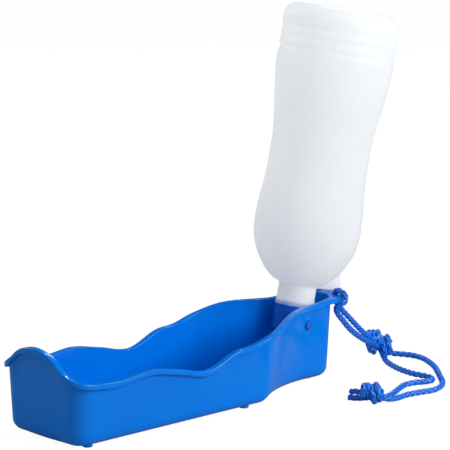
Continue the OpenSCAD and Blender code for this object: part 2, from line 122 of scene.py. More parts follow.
def rounded(out, up, soft, start_deg, end_deg, steps):
    """Points of the arc that rounds a corner at (out, up). Its angles say which way it faces."""
    faces_way = math.radians((start_deg + end_deg) / 2)
    centre = (out - math.copysign(soft, math.cos(faces_way)),
              up - math.copysign(soft, math.sin(faces_way)))
    return arc(centre, soft, start_deg, end_deg, steps)


def upright(radius, start, end, step):
    """Points (radius, height) straight up or down a wall."""
    return [(radius, height) for height in between(start, end, step)]


# %% Faces of a grid


def grid_faces(rows, columns, rows_closed, columns_closed):
    """Quads of a grid whose point (row, column) has the index row * columns + column."""
    r = np.arange(rows if rows_closed else rows - 1)[:, None]
    c = np.arange(columns if columns_closed else columns - 1)[None, :]
    r2, c2 = (r + 1) % rows, (c + 1) % columns
    quads = np.stack([r * columns + c, r * columns + c2, r2 * columns + c2, r2 * columns + c], -1)
    return quads.reshape(-1, 4).tolist()


def end_fans(rows, columns):
    """Triangles that close both ends of a tube, from two points added after the grid's own."""
    pole, last = rows * columns, (rows - 1) * columns
    fans = []
    for j in range(columns):
        fans.append([pole, (j + 1) % columns, j])
        fans.append([pole + 1, last + j, last + (j + 1) % columns])
    return fans


# %% Mesh helpers


def add_piece(name, points_mm, faces, smooth_angle=35):
    """A mesh object in the row frame from points in millimetres, smooth up to an angle."""
    mesh = bpy.data.meshes.new(name)
    mesh.from_pydata((np.asarray(points_mm, float) * MM).tolist(), [], faces)
    mesh.validate()
    work = bmesh.new()
    work.from_mesh(mesh)
    bmesh.ops.recalc_face_normals(work, faces=work.faces)
    work.to_mesh(mesh)
    work.free()
    piece = bpy.data.objects.new(name, mesh)
    bpy.context.scene.collection.objects.link(piece)
    shade(piece, smooth_angle)
    return piece


def shade(piece, smooth_angle):
    piece.data.shade_smooth()
    piece.data.set_sharp_from_angle(angle=math.radians(smooth_angle))


def apply_boolean(piece, operation, *others):
    """Cuts the others out of the piece, or fuses them to it, and removes them."""
    for other in others:
        step = piece.modifiers.new(operation, "BOOLEAN")
        step.operation, step.solver, step.object = operation, "EXACT", other
        with bpy.context.temp_override(object=piece, active_object=piece):
            bpy.ops.object.modifier_apply(modifier=step.name)
        old = other.data
        bpy.data.objects.remove(other)
        bpy.data.meshes.remove(old)


# %% [markdown]
# ## The cord
#
# The lanyard is one blue polypropylene cord, 3.6 mm thick. Its middle passes through the near
# hole in the tray's rear ledge; both halves run side by side into one knot, round a wrist loop
# and into a second knot near the ends. It could be a bevelled curve with a bump texture, but the
# braid stands out at the edge of a cord this coarse, so it is modelled: six yarns, three turning
# each way, and each goes over one and under one of the others. A point of the cord's skin is
# pushed out where a yarn lies on top and pulled in between yarns.

# %% Cord routes
CORD_D = 3.6
ROUTE_A = [
    (95.93, -9.7, 52.7), (95.95, -9.9, 54.7), (96.1, -11.3, 55.9), (96.2, -13.6, 56.1),
    (96, -16.2, 55.8), (95.6, -18.6, 54.8), (95.2, -20.2, 53), (94.4, -20.7, 51.2),
    (92.9, -20.4, 49.7), (91.2, -18.9, 48.2), (90.3, -17.2, 46.6), (91.2, -16, 44),
    (94, -15.6, 40.6), (98.2, -14.9, 36.6), (104.4, -13.2, 31.2), (111.2, -11.2, 26.2),
    (118.6, -9.2, 21.6), (126.6, -7, 17.2), (135, -4.8, 13.4), (145, -2, 8.6), (151.5, -0.6, 5),
    (156.5, -3, 2.4), (160.5, -8.5, 2), (163, -15, 2), (163, -23, 2), (159.5, -32.5, 2),
    (152.5, -45, 2), (144, -56, 2), (136.5, -65, 2), (129, -74, 2), (121, -80.5, 2),
    (111, -84, 2), (100, -82, 2), (90, -80.6, 2), (80, -81.6, 2), (71.5, -81.6, 3),
    (65, -78.6, 5.6), (62.4, -72.5, 6.8), (61.4, -66, 6.2), (59.5, -59.8, 5.6),
]
ROUTE_B = [
    (95.93, -9.7, 52.7), (95.95, -9.8, 50.2), (96.6, -10.6, 47.8), (98.4, -11.3, 45.2),
    (101, -11.2, 42.4), (104.2, -10.8, 39.6), (108, -10.6, 36.2), (113.5, -9.2, 31.8),
    (120, -7.4, 26.8), (127, -5.4, 21.8), (134.5, -3.4, 17), (141, -2, 12.6), (144.6, -3, 8),
    (143.4, -7.6, 3.6), (140, -13.4, 2), (136, -21, 2), (132.5, -30, 2), (130.4, -39, 2),
    (129.6, -48, 2), (130.8, -56, 2), (130.4, -62.8, 2), (126.6, -67, 2), (121, -66.8, 2),
    (114, -63.6, 2), (106, -63.2, 2), (98, -66.4, 2), (90, -70.4, 2), (82, -73.8, 2),
    (74, -76, 2.4), (67.5, -76.4, 4), (63.4, -72, 3.4), (61, -65.6, 2.2), (58.2, -59.6, 2),
]

# %% Smooth lines
CURVE_STEPS = 24


def distances(line):
    """How far along a line each of its points lies."""
    return np.concatenate([[0], np.cumsum(np.linalg.norm(np.diff(line, axis=0), axis=1))])


def smooth_route(points, step):
    """Points evenly spaced along a soft curve through the given ones, in millimetres."""
    p = np.asarray(points, float)
    ends = np.vstack([2 * p[0] - p[1], p, 2 * p[-1] - p[-2]])
    t = np.linspace(0, 1, CURVE_STEPS, endpoint=False)[:, None]
    fine = []
    for a, b, c, d in zip(ends, ends[1:], ends[2:], ends[3:]):
        fine.append(0.5 * (2 * b + (c - a) * t + (2 * a - 5 * b + 4 * c - d) * t**2
                           + (3 * b - 3 * c + d - a) * t**3))
    fine = np.vstack([*fine, p[-1:]])
    along = distances(fine)
    where = np.linspace(0, along[-1], max(2, round(along[-1] / step)) + 1)
    return np.stack([np.interp(where, along, fine[:, k]) for k in range(3)], -1)


def carried_sides(line):
    """Two side directions at each point of a line, carried along it without twist."""
    tangent = np.gradient(line, axis=0)
    tangent /= np.linalg.norm(tangent, axis=1)[:, None]
    side = np.cross(tangent[0], [0, 0, 1.0])
    if np.linalg.norm(side) < 0.1:
        side = np.array([1.0, 0, 0])
    sides = []
    for t in tangent:
        side = side - t * (side @ t)
        side /= np.linalg.norm(side)
        sides.append(side)
    sides = np.array(sides)
    return sides, np.cross(tangent, sides)


# %% Braid
BRAID_LAY, YARNS_EACH_WAY, BRAID_SHIFT = 13.0, 3, 3.7
YARN_RELIEF, YARN_CROWN, YARN_UNDER = 1.0, 0.2, 0.35
END_ROUND, END_TIP = 0.9, 0.02


def braid_height(turn, along):
    """Height from 0 to 1 of the braid's skin at a turn round the cord and a way along it."""
    one = YARNS_EACH_WAY * (turn - along / BRAID_LAY)
    other = YARNS_EACH_WAY * (turn + along / BRAID_LAY)
    over = 0.5 + 0.5 * np.cos(math.pi * (one + other))

    def crown(yarn, on_top):
        arched = np.sqrt(np.clip(1 - (2 * (yarn % 1) - 1) ** 2, 0, 1))
        return arched * mix(YARN_UNDER, 1, on_top)

    return np.maximum(crown(one, over), crown(other, 1 - over))


def braided_tube(line, shift, around=32):
    """Points, faces and braid heights of a cord with rounded ends along evenly spaced points."""
    sides, ups = carried_sides(line)
    along = distances(line)
    turn = np.arange(around) / around
    height = braid_height(turn[None, :] + 1 / 8, along[:, None] + shift)
    from_end = np.minimum(1, np.minimum(along, along[-1] - along) / END_ROUND)[:, None]
    radius = (CORD_D / 2 + YARN_CROWN - YARN_RELIEF * (1 - height)) * np.sqrt(np.clip(
        1 - (1 - from_end) ** 2, END_TIP, 1))
    angle = 2 * math.pi * turn[None, :]
    points = (line[:, None, :] + radius[..., None] * (np.cos(angle)[..., None] * sides[:, None, :]
              + np.sin(angle)[..., None] * ups[:, None, :])).reshape(-1, 3)
    points = np.vstack([points, line[:1], line[-1:]])
    faces = grid_faces(len(line), around, False, True) + end_fans(len(line), around)
    return points, faces, np.append(height.reshape(-1), [0.5, 0.5])


# %% Cord pieces
CORD_STEP = 0.32


def cord_piece(name, lines):
    """One piece of braided cord along several lines, with its braid height kept per point."""
    points, faces, heights = [], [], []
    for k, line in enumerate(lines):
        start = sum(len(p) for p in points)
        tube_points, tube_faces, tube_heights = braided_tube(line, BRAID_SHIFT * k)
        points.append(tube_points)
        faces += [[start + i for i in face] for face in tube_faces]
        heights.append(tube_heights)
    piece = add_piece(name, np.vstack(points), faces, smooth_angle=60)
    # the braid height is kept so that the cord's finish can paint shade into the valleys and light
    # onto the crowns
    braid = piece.data.attributes.new("braid", "FLOAT", "POINT")
    braid.data.foreach_set("value", np.concatenate(heights))
    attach(piece, "tray")
    return piece


def cord_strand(name, route):
    line = smooth_route(route, CORD_STEP)
    length = float(distances(line)[-1])
    print(name, "is", round(length, 1), "mm long")
    return cord_piece(name, [line]), line, length


strand_a, line_a, length_a = cord_strand("cord_half_a", ROUTE_A)
strand_b, line_b, length_b = cord_strand("cord_half_b", ROUTE_B)

# %% [markdown]
# ## The knots
#
# Each knot is both halves of the cord wound round themselves and pulled tight. A real knot could
# be tied with a physics simulation, but pulled tight it reads as two lobes: a few turns of cord
# side by side, wound round the halves that run through, with each lobe leaning its own way. So a
# knot is a few windings, each with a middle, a lean, a height and a depth, whose ends dive in.

# %% Windings
ACROSS, UPWARDS, OUTWARDS = (np.array(v) for v in (
    (0.734, -0.679, 0.0), (0.142, 0.154, 0.978), (-0.664, -0.718, 0.209)))


def winding(middle, lean_deg, tall, deep, turns, pitch, grow=0.0):
    """A line of turns round a middle, leaning in the plane that faces the camera."""
    lean = math.radians(lean_deg)
    way = ACROSS * math.cos(lean) + UPWARDS * math.sin(lean)
    high = UPWARDS * math.cos(lean) - ACROSS * math.sin(lean)
    t = np.linspace(0, 1, 16 * turns + 1)[:, None]
    angle = math.pi + 2 * math.pi * turns * t
    # over the first and the last quarter turn, the size falls to half
    close = 1 - 0.5 * np.clip(1 - np.minimum(t, 1 - t) * turns * 4, 0, 1)
    size = close * (1 + grow * (t - 0.5))
    line = (np.array(middle) + way * (t - 0.5) * pitch * turns
            + high * tall * size * np.sin(angle) + OUTWARDS * deep * size * np.cos(angle))
    return smooth_route(line, CORD_STEP)


# %% Knot pieces
knot_a = cord_piece("wrist_loop_knot", [
    winding((142.8, 0.7, 12.7), 10, 5.6, 4.4, 3, 2.8, grow=-0.2),
    winding((148.3, -5.0, 9.4), 20, 5.5, 4.2, 2, 3.5, grow=-0.1),
    winding((141.6, 1.2, 8.6), 30, 3.8, 3.4, 1, 3.0),
])
knot_b = cord_piece("end_knot", [
    winding((60.6, -72.7, 8.8), 6, 3.0, 3.2, 2, 2.7),
    winding((64.8, -77.2, 6.9), 22, 4.7, 4.0, 2, 3.3, grow=0.1),
    winding((68.1, -79.4, 6.0), 38, 2.8, 3.0, 1, 2.6),
])
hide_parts("knot_upper")
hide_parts("knot_lower")
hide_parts("lanyard_strand_a")
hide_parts("lanyard_strand_b")
print("the knots have", [len(knot.data.vertices) for knot in (knot_a, knot_b)], "points")

# %% [markdown]
# ## The tray
#
# The tray is one injection moulding, 1.5 mm thick, with drafted walls, a waved rim that turns
# down into a small lip, and a narrow throat at the rear that holds the hinge. It could be
# sculpted or cut from a box, but every wall is the same section carried round one outline, so a
# loft does it: stations go round the outline, and each station has its own rim height, rake and
# rim width. The exact model has the same outline in coarser steps; here the steps are under a
# millimetre and the rim's edges are rounded as a mould would leave them.

# %% Tray sizes
TRAY_L, TROUGH_HALF_W, THROAT_HALF_W = 230.0, 33.8, 12.9
NECK_IN_START, NECK_IN_END, NECK_IN_RAKE = 150.0, 209.0, 10.5
WALL, DRAFT, FLOOR_R, FRONT_BOW = 1.5, 0.052, 6.5, 0.8
FRONT_CORNER_R, REAR_CORNER_R = 11.0, 9.0
ARCH_H, CORNER_H, BULGE_H, DIP_H, THROAT_H, REAR_H = 56.7, 39.4, 39.9, 31.3, 50.6, 52.4
RIM_W, RIM_DROP, RIM_T, LEDGE_W = 2.8, 3.2, 1.2, 8.0
CORD_HOLE_BACK, CORD_HOLE_R, CORD_HOLE_SIDE = 2.6, 2.4, 9.7
FOOT_H, FOOT_R, FOOT_SOFT, FOOT_INSET, REAR_FOOT_INSET = 1.1, 3.0, 0.35, 6.3, 10.5
FRONT_FOOT_X, MIDDLE_FOOT_X, REAR_FOOT_X = 12.5, NECK_IN_START - 11, TRAY_L - REAR_CORNER_R - 4
PIVOT_X, PIVOT_H, LEAN = 206.4, 37.4, math.radians(12.8)
TRUNNION_R, TRUNNION_GAP, TRUNNION_PROUD = 2.4, 0.1, 1.7

FRONT_FLAT = TROUGH_HALF_W - FRONT_CORNER_R
CORNER_RUN = FRONT_CORNER_R * math.pi / 2
SIDE_SHIFT = FRONT_FLAT + CORNER_RUN - FRONT_CORNER_R
REAR_RUN = TRAY_L + SIDE_SHIFT

# %% Rim height
RIM = [
    (0, ARCH_H), (10.5, ARCH_H - 1.8), (17, ARCH_H - 5), (22, ARCH_H - 9), (27, CORNER_H + 4.2),
    (31.5, CORNER_H + 1.6), (37, CORNER_H), (57, CORNER_H - 1.8), (84, BULGE_H),
    (107, mix(DIP_H, BULGE_H, 0.52)), (130, DIP_H), (153, BULGE_H - 0.8), (168, BULGE_H + 0.7),
    (SIDE_SHIFT + mix(NECK_IN_START, NECK_IN_END, 0.1), mix(BULGE_H, THROAT_H, 0.49)),
    (SIDE_SHIFT + mix(NECK_IN_START, NECK_IN_END, 0.42), THROAT_H - 0.4),
    (REAR_RUN - 20, THROAT_H), (REAR_RUN, REAR_H),
]


def rim_height(run):
    """Smooth rim height at a run along the outline, level at both ends."""
    x, y = (np.array(v) for v in zip(*RIM))
    slope = np.concatenate([[0], (y[2:] - y[:-2]) / (x[2:] - x[:-2]), [0]])
    run = np.clip(run, x[0], x[-1])
    i = np.clip(np.searchsorted(x, run, side="right") - 1, 0, len(x) - 2)
    w = x[i + 1] - x[i]
    t = (run - x[i]) / w
    return ((1 + 2 * t) * (1 - t) ** 2 * y[i] + t * (1 - t) ** 2 * w * slope[i]
            + ease(t) * y[i + 1] - t * t * (1 - t) * w * slope[i + 1])


# %% Tray outline
LEDGE_SPREAD = 1.6


def shares(count):
    """Even shares from 0 up to, and without, 1."""
    return np.arange(count) / count


def near_half_outline():
    """Stations of one half: x, y, outward x, outward y, run, rake share, ledge share."""
    rows = []
    for t in shares(26):
        rows.append((-FRONT_BOW * swell(1 - t), -FRONT_FLAT * t, -1, 0, FRONT_FLAT * t, 0, 0))
    for t in shares(20):
        a = t * math.pi / 2
        rows.append((FRONT_CORNER_R * (1 - math.cos(a)),
                     -(FRONT_FLAT + FRONT_CORNER_R * math.sin(a)),
                     -math.cos(a), -math.sin(a), FRONT_FLAT + CORNER_RUN * t, 0, 0))
    for t in shares(130):
        x = mix(FRONT_CORNER_R, NECK_IN_START, t)
        rows.append((x, -TROUGH_HALF_W, 0, -1, x + SIDE_SHIFT, 0, 0))
    for t in shares(76):
        x = mix(NECK_IN_START, NECK_IN_END, t)
        y = mix(TROUGH_HALF_W, THROAT_HALF_W, ease(t))
        slope = 6 * t * (1 - t) * (TROUGH_HALF_W - THROAT_HALF_W) / (NECK_IN_END - NECK_IN_START)
        n = math.hypot(slope, 1)
        rows.append((x, -y, slope / n, -1 / n, x + SIDE_SHIFT, math.sin(math.pi * t), 0))
    for t in shares(12):
        x = mix(NECK_IN_END, TRAY_L - REAR_CORNER_R, t)
        rows.append((x, -THROAT_HALF_W, 0, -1, x + SIDE_SHIFT, 0, 0))
    for t in np.linspace(0, 1, 26):
        a = t * math.pi / 2
        rows.append((TRAY_L - REAR_CORNER_R * (1 - math.sin(a)),
                     -(THROAT_HALF_W - REAR_CORNER_R * (1 - math.cos(a))),
                     math.sin(a), -math.cos(a),
                     TRAY_L + SIDE_SHIFT - REAR_CORNER_R * (1 - math.sin(a)),
                     0, math.sin(a) ** LEDGE_SPREAD))
    for t in np.linspace(0, 1, 5)[1:]:
        rows.append((TRAY_L, -(THROAT_HALF_W - REAR_CORNER_R) * (1 - t), 1, 0, REAR_RUN, 0, 1))
    return np.array(rows)


near = near_half_outline()
far = near[-2:0:-1] * [1, -1, 1, -1, 1, 1, 1]
outline = np.vstack([near, far])
print("the outline has", len(outline), "stations")

# %% [markdown]
# ## Sections of the tray
#
# A section goes up the outside of the wall, out under the rim, round the turned-down lip and
# down the inside. On a real moulding no edge is quite sharp, because the steel mould is radiused
# so that the part releases. The fillets could come from a bevel modifier, but the lip is only
# 1.2 mm thick and a modifier would pinch there, so each fillet is an arc in the section itself.

# %% Tray section
LIP_SOFT, CROWN_SOFT, INNER_SOFT, UNDER_SOFT = 0.4, 0.9, 0.6, 0.5
WALL_MARK, CROWN_MARK, CROWN_RISE = 12.0, 0.2, 0.04


def wall_section(top, edge):
    """Points (out, up) of the wall, from the underside over the rim to the inner floor."""
    inner_lip = edge - RIM_T
    under = top - WALL
    return [
        *rounded(0, 0, FLOOR_R, -90, 0, 9),
        (0, WALL_MARK),
        *rounded(0, under, UNDER_SOFT, 180, 90, 3),
        *rounded(inner_lip, under, UNDER_SOFT, 90, 0, 3),
        *rounded(inner_lip, top - RIM_DROP, LIP_SOFT, 180, 270, 3),
        *rounded(edge, top - RIM_DROP, LIP_SOFT, 270, 360, 3),
        *rounded(edge, top, CROWN_SOFT, 0, 90, 7),
        (CROWN_MARK, top + CROWN_RISE),
        *rounded(-WALL, top, INNER_SOFT, 90, 180, 5),
        (-WALL, WALL_MARK),
        *rounded(-WALL, WALL, FLOOR_R - WALL, 0, -90, 9),
    ]


def tray_point(station, out, up):
    x, y, nx, ny, _, rake, _ = station
    reach = out + DRAFT * up
    back = NECK_IN_RAKE * (1 - min(1, up / THROAT_H)) * rake
    return (x + nx * reach - back, y + ny * reach, up)


# The row frame's origin is under the middle of the whole object
BOTTLE_L, BASE_R, BASE_EDGE_R = 201.0, 37.1, 9.0
front_x = -(FRONT_BOW + RIM_W + DRAFT * ARCH_H)
rear_x = (PIVOT_X + (BOTTLE_L - BASE_EDGE_R) * math.sin(LEAN)
          + (BASE_R - BASE_EDGE_R) * math.cos(LEAN) + BASE_EDGE_R)
MIDDLE_X = (front_x + rear_x) / 2
print("the tray's front wall stands at x =", round(-MIDDLE_X, 2))

# %% Tray shell
tops = rim_height(outline[:, 4])
sections = []
for station, top in zip(outline, tops):
    profile = wall_section(top, RIM_W + LEDGE_W * station[6])
    sections.append([tray_point(station, out, up) for out, up in profile])
section_len = len(sections[0])
shell = np.array(sections).reshape(-1, 3) + [-MIDDLE_X, 0, FOOT_H]
faces = grid_faces(len(sections), section_len, True, False)


def flat_end(ring):
    """Triangles across one flat end, from each near station to its mirror."""
    n = len(ring)
    triangles = [[ring[0], ring[1], ring[n - 1]]]
    for j in range(1, n // 2):
        a, b, c, d = j, j + 1, n - 1 - j, n - j
        triangles.append([ring[a], ring[b], ring[d]])
        if b != c:
            triangles.append([ring[b], ring[c], ring[d]])
    return triangles


underside = range(0, len(shell), section_len)
inner_floor = range(section_len - 1, len(shell), section_len)
faces += flat_end(underside)
faces += [f[::-1] for f in flat_end(inner_floor)]
tray = add_piece("tray_shell", shell, faces)
print("the tray shell has", len(tray.data.vertices), "points")

# %% [markdown]
# ## Feet and holes
#
# Six low feet keep the tray's underside off wet ground, and four holes are cut: two bores for
# the hinge's trunnions and one in each corner of the rear ledge for the cord, so that it can be
# worn on either side. Feet and holes could be modelled into the grid, but a boolean joins and
# cuts them cleanly where walls are this smooth.

# %% Turned shapes


def turned(name, profile, around=96, closed=False, skin=None, smooth_angle=35):
    """A turned piece from (radius, height) points. A radius of 0 at an end closes it there.

    skin(radius, height, turn) may change the radius round the piece, as a thread or a seam does.
    """
    turn = np.arange(around) / around
    angle = 2 * math.pi * turn
    rings = profile if closed else profile[1:-1]
    points = []
    for radius, height in rings:
        r = np.full(around, float(radius)) if skin is None else skin(radius, height, turn)
        points.append(np.stack([r * np.cos(angle), r * np.sin(angle),
                                np.full(around, float(height))], -1))
    points = np.array(points).reshape(-1, 3)
    faces = grid_faces(len(rings), around, closed, True)
    if not closed:
        points = np.vstack([points, [[0, 0, profile[0][1]], [0, 0, profile[-1][1]]]])
        faces += end_fans(len(rings), around)
    return add_piece(name, points, faces, smooth_angle)


# %% Posts, drills and places


def moved(piece, matrix):
    """The same mesh with every point moved, so that the object itself stays at the origin."""
    piece.data.transform(matrix)
    return piece


def in_tray(x, y, z):
    """Moves a piece to a place measured from the tray's front and its underside."""
    return Matrix.Translation(Vector((x - MIDDLE_X, y, FOOT_H + z)) * MM)


def rounded_post(name, radius, foot, top, soft):
    """A short round post whose top end has a rounded edge."""
    edge = rounded(radius, top, soft, 0, 90, 4)
    return turned(name, [(0, foot), (radius, foot), *edge, (0, top)], 40)


def drill(name, radius, low, high, around):
    """A plain cylinder to cut a round hole with."""
    return turned(name, [(0, low), (radius, low), (radius, high), (0, high)], around)


# %% Tray feet and holes
FEET = [(FRONT_FOOT_X, TROUGH_HALF_W - FOOT_INSET), (MIDDLE_FOOT_X, TROUGH_HALF_W - FOOT_INSET),
        (REAR_FOOT_X, THROAT_HALF_W - REAR_FOOT_INSET)]
TURN_OVER = Matrix.Rotation(math.pi, 4, "X")
for side in (-1, 1):
    for x, y in FEET:
        foot = rounded_post("foot", FOOT_R, -WALL / 2, FOOT_H, FOOT_SOFT)
        moved(foot, in_tray(x, side * y, 0) @ TURN_OVER)
        apply_boolean(tray, "UNION", foot)

bore = drill("bore", TRUNNION_R + TRUNNION_GAP, -40, 40, 48)
ALONG_Y = Matrix.Rotation(math.pi / 2, 4, "X")
moved(bore, in_tray(PIVOT_X, 0, PIVOT_H) @ ALONG_Y)
apply_boolean(tray, "DIFFERENCE", bore)
rear_wall_x = TRAY_L + DRAFT * REAR_H
for side in (-1, 1):
    hole = drill("hole", CORD_HOLE_R, -6, 6, 40)
    moved(hole, in_tray(rear_wall_x + CORD_HOLE_BACK, side * CORD_HOLE_SIDE, REAR_H))
    apply_boolean(tray, "DIFFERENCE", hole)
shade(tray, 28)
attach(tray, "tray")
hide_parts("tray")
print("the finished tray has", len(tray.data.vertices), "points")

# %% [markdown]
# ## The hinged cap
#
# The cap is a blue cup with a flat floor, a spout below it and a round trunnion on each side
# that turns in the tray and ends in a low head. Its inside is threaded for the bottle, and
# shallow flutes round the outside give grip. It is drawn along the bottle's axis, with height 0
# on the hinge, and then leaned back with the bottle. The thread could be a separate helix
# joined on, but turning the wall with a radius that changes round the turn makes ridge and wall
# one clean surface.

# %% Cap sizes
CAP_GAP, CAP_WALL, CAP_TOP, CAP_FLOOR_DEPTH, CAP_FLOOR_T = 0.3, 1.4, 13.0, 3.5, 2.4
SPOUT_R, SPOUT_BORE_R, SPOUT_L = 5.0, 3.2, 6.0
SKIRT_L, SKIRT_STEP, SKIRT_GRIP = 2.4, 0.5, 0.04
THREAD_GAP, THREAD_PITCH, THREAD_DEPTH = 0.4, 3.2, 0.75
VALVE_FLANGE_R, VALVE_FLANGE_T, VALVE_SKIN = 7.6, 0.8, 0.7
WASHER_T, WASHER_BORE_R = 1.2, 6.0

CAP_FLOOR = -CAP_FLOOR_DEPTH
CAP_UNDER = CAP_FLOOR - CAP_FLOOR_T
cap_swing = math.hypot(CAP_UNDER, THROAT_HALF_W / 2)
CAP_R = THROAT_HALF_W + DRAFT * (PIVOT_H - cap_swing) - WALL - CAP_GAP
CAP_BORE_R = CAP_R - CAP_WALL
FINISH_R = CAP_BORE_R - THREAD_GAP
TRUNNION_END = THROAT_HALF_W + DRAFT * PIVOT_H + TRUNNION_PROUD

ON_BOTTLE_AXIS = in_tray(PIVOT_X, 0, PIVOT_H) @ Matrix.Rotation(LEAN, 4, "Y")
print("the cap is", round(2 * CAP_R, 2), "mm across")

# %% Thread and flutes
RIDGE_W, RIDGE_FLANK, RIDGE_FADE = 0.42, 0.189, 1.2
FLUTES, FLUTE_DEPTH, FLUTE_FADE = 36, 0.14, 1.5
FLUTE_LOW, FLUTE_HIGH = CAP_UNDER + 1.2, CAP_TOP - SKIRT_L - 0.8


def thread_ridge(height, turn, first, last, phase):
    """Share of a full thread ridge, 0 to 1, at a height and a turn, faded out at both ends."""
    near_ridge = np.abs((height / THREAD_PITCH - turn + phase) % 1 - 0.5) * 2
    crest = np.clip((near_ridge - (1 - RIDGE_W)) / RIDGE_FLANK, 0, 1)
    start = np.clip((height - first - THREAD_PITCH * turn) / RIDGE_FADE, 0, 1)
    end = np.clip((last - THREAD_PITCH * (1 - turn) - height) / RIDGE_FADE, 0, 1)
    return ease(crest) * ease(start) * ease(end)


def cap_skin(radius, height, turn):
    """Cuts the flutes into the cap's outside and raises the thread in its bore."""
    r = np.full(len(turn), float(radius))
    if radius > CAP_R - 0.01 and FLUTE_LOW < height < FLUTE_HIGH:
        fade = min(1, (height - FLUTE_LOW) / FLUTE_FADE, (FLUTE_HIGH - height) / FLUTE_FADE)
        r -= FLUTE_DEPTH * fade * swell(2 * FLUTES * turn)
    if abs(radius - CAP_BORE_R) < 0.01:
        r -= THREAD_DEPTH * thread_ridge(height, turn, 0.2, CAP_TOP - 1.0, 0.5)
    return r


# %% Cap
SPOUT_SOFT, SPOUT_BORE_SOFT, CAP_FOOT_SOFT, CAP_STEP_SOFT = 0.5, 0.4, 0.8, 0.2
CAP_BORE_SOFT, CAP_EDGE, VALVE_SEAT_GAP = 0.4, 0.3, 0.1
spout_end = CAP_UNDER - SPOUT_L
cap_step_z = CAP_TOP - SKIRT_L
grip_r = CAP_R - SKIRT_STEP - SKIRT_GRIP
cap_profile = [
    *upright(SPOUT_BORE_R, CAP_FLOOR - VALVE_FLANGE_T, spout_end + SPOUT_BORE_SOFT, 2),
    *rounded(SPOUT_BORE_R, spout_end, SPOUT_BORE_SOFT, 180, 270, 3),
    *rounded(SPOUT_R, spout_end, SPOUT_SOFT, 270, 360, 4),
    *rounded(SPOUT_R, CAP_UNDER, SPOUT_SOFT, 180, 90, 3),
    *rounded(CAP_R, CAP_UNDER, CAP_FOOT_SOFT, 270, 360, 5),
    *upright(CAP_R, FLUTE_LOW, cap_step_z - 0.5, 0.45),
    *rounded(CAP_R, cap_step_z, CAP_STEP_SOFT, 0, 90, 2),
    (grip_r, cap_step_z),
    (grip_r, CAP_TOP - CAP_EDGE),
    (grip_r - CAP_EDGE, CAP_TOP),
    (CAP_BORE_R + CAP_EDGE, CAP_TOP),
    (CAP_BORE_R + 0.02, CAP_TOP - CAP_EDGE),
    *upright(CAP_BORE_R, CAP_TOP - 0.5, CAP_FLOOR + CAP_BORE_SOFT, 0.2),
    *rounded(CAP_BORE_R, CAP_FLOOR, CAP_BORE_SOFT, 0, -90, 3),
    (VALVE_FLANGE_R + VALVE_SEAT_GAP, CAP_FLOOR),
    (VALVE_FLANGE_R + VALVE_SEAT_GAP, CAP_FLOOR - VALVE_FLANGE_T),
]
cap = turned("hinged_cap", cap_profile, around=216, closed=True, skin=cap_skin)

# %% Trunnions
TRUNNION_SOFT, HEAD_SOFT, HEAD_OVER, HEAD_GAP, HEAD_SHORT = 0.5, 0.6, 0.45, 0.25, 0.02
head_foot = TRUNNION_END - TRUNNION_PROUD + HEAD_GAP
for side in (-1, 1):
    trunnion = rounded_post("trunnion", TRUNNION_R, CAP_R - CAP_WALL / 2, TRUNNION_END,
                            TRUNNION_SOFT)
    head = rounded_post("trunnion_head", TRUNNION_R + HEAD_OVER, head_foot,
                        TRUNNION_END - HEAD_SHORT, HEAD_SOFT)
    for post in (trunnion, head):
        moved(post, Matrix.Rotation(-side * math.pi / 2, 4, "X"))
        apply_boolean(cap, "UNION", post)
moved(cap, ON_BOTTLE_AXIS)
shade(cap, 30)
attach(cap, "hinge_cap")
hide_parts("hinge_cap")

# %% [markdown]
# ## The squeeze bottle
#
# The bottle is blown from soft low-density polyethylene: a tube of hot plastic is closed in a
# two-part mould and blown out against it. That leaves a slightly uneven thin wall, a faint seam
# down each side and a pinched seam across the base. A narrow waist gives the fingers a place
# and three grooves near the base stiffen it. A lathe curve with a thickness modifier would do
# for the body, but not for the thread and the seam, so outside and inside are one profile.

# %% Bottle sizes
BOTTLE_WALL, FINISH_WALL, NECK_GAP = 1.1, 1.5, 0.35
SLEEVE_R, SLEEVE_WALL = 12.15, 0.9
SLEEVE_BORE_R = SLEEVE_R - SLEEVE_WALL
SHOULDER_FOOT_R, NECK_TOP, SHOULDER_L, SHOULDER_R, SHOULDER_ROUND = 12.15, 24.7, 36.0, 34.1, 0.65
WAIST_R, WAIST_RUN, WAIST_SETTLED, BASE_HOLLOW = 31.7, 50.0, 40.0, 3.5
GROOVE_START, GROOVE_PITCH, GROOVE_COUNT, GROOVE_DEPTH = 15.5, 6.5, 3, 0.9
MOUTH = CAP_FLOOR + WASHER_T
NECK_R = SLEEVE_BORE_R - NECK_GAP
SHOULDER_TOP = NECK_TOP + SHOULDER_L
FLARE_END = BOTTLE_L - GROOVE_START - GROOVE_PITCH * (GROOVE_COUNT - 1) - GROOVE_PITCH / 2
BASE_BEND = BOTTLE_L - BASE_EDGE_R

# The dish in the base: share of its radius, share of its depth
BASE_DISH = [(0.95, 0.02), (0.88, 0.16), (0.8, 0.46), (0.7, 0.74), (0.55, 0.9), (0.35, 0.97),
             (0.15, 0.995)]

# %% Bottle body


def part_way(value, start, end):
    return min(1.0, max(0.0, (value - start) / (end - start)))


def groove_at(s):
    """How far the wall is drawn in by the grooves at distance s from the hinge."""
    deepest = 0.0
    for k in range(GROOVE_COUNT):
        off = abs(s - (BOTTLE_L - GROOVE_START - k * GROOVE_PITCH)) / (GROOVE_PITCH / 2)
        if off < 1:
            deepest = max(deepest, math.cos(math.pi / 2 * off) ** 2)
    return GROOVE_DEPTH * deepest


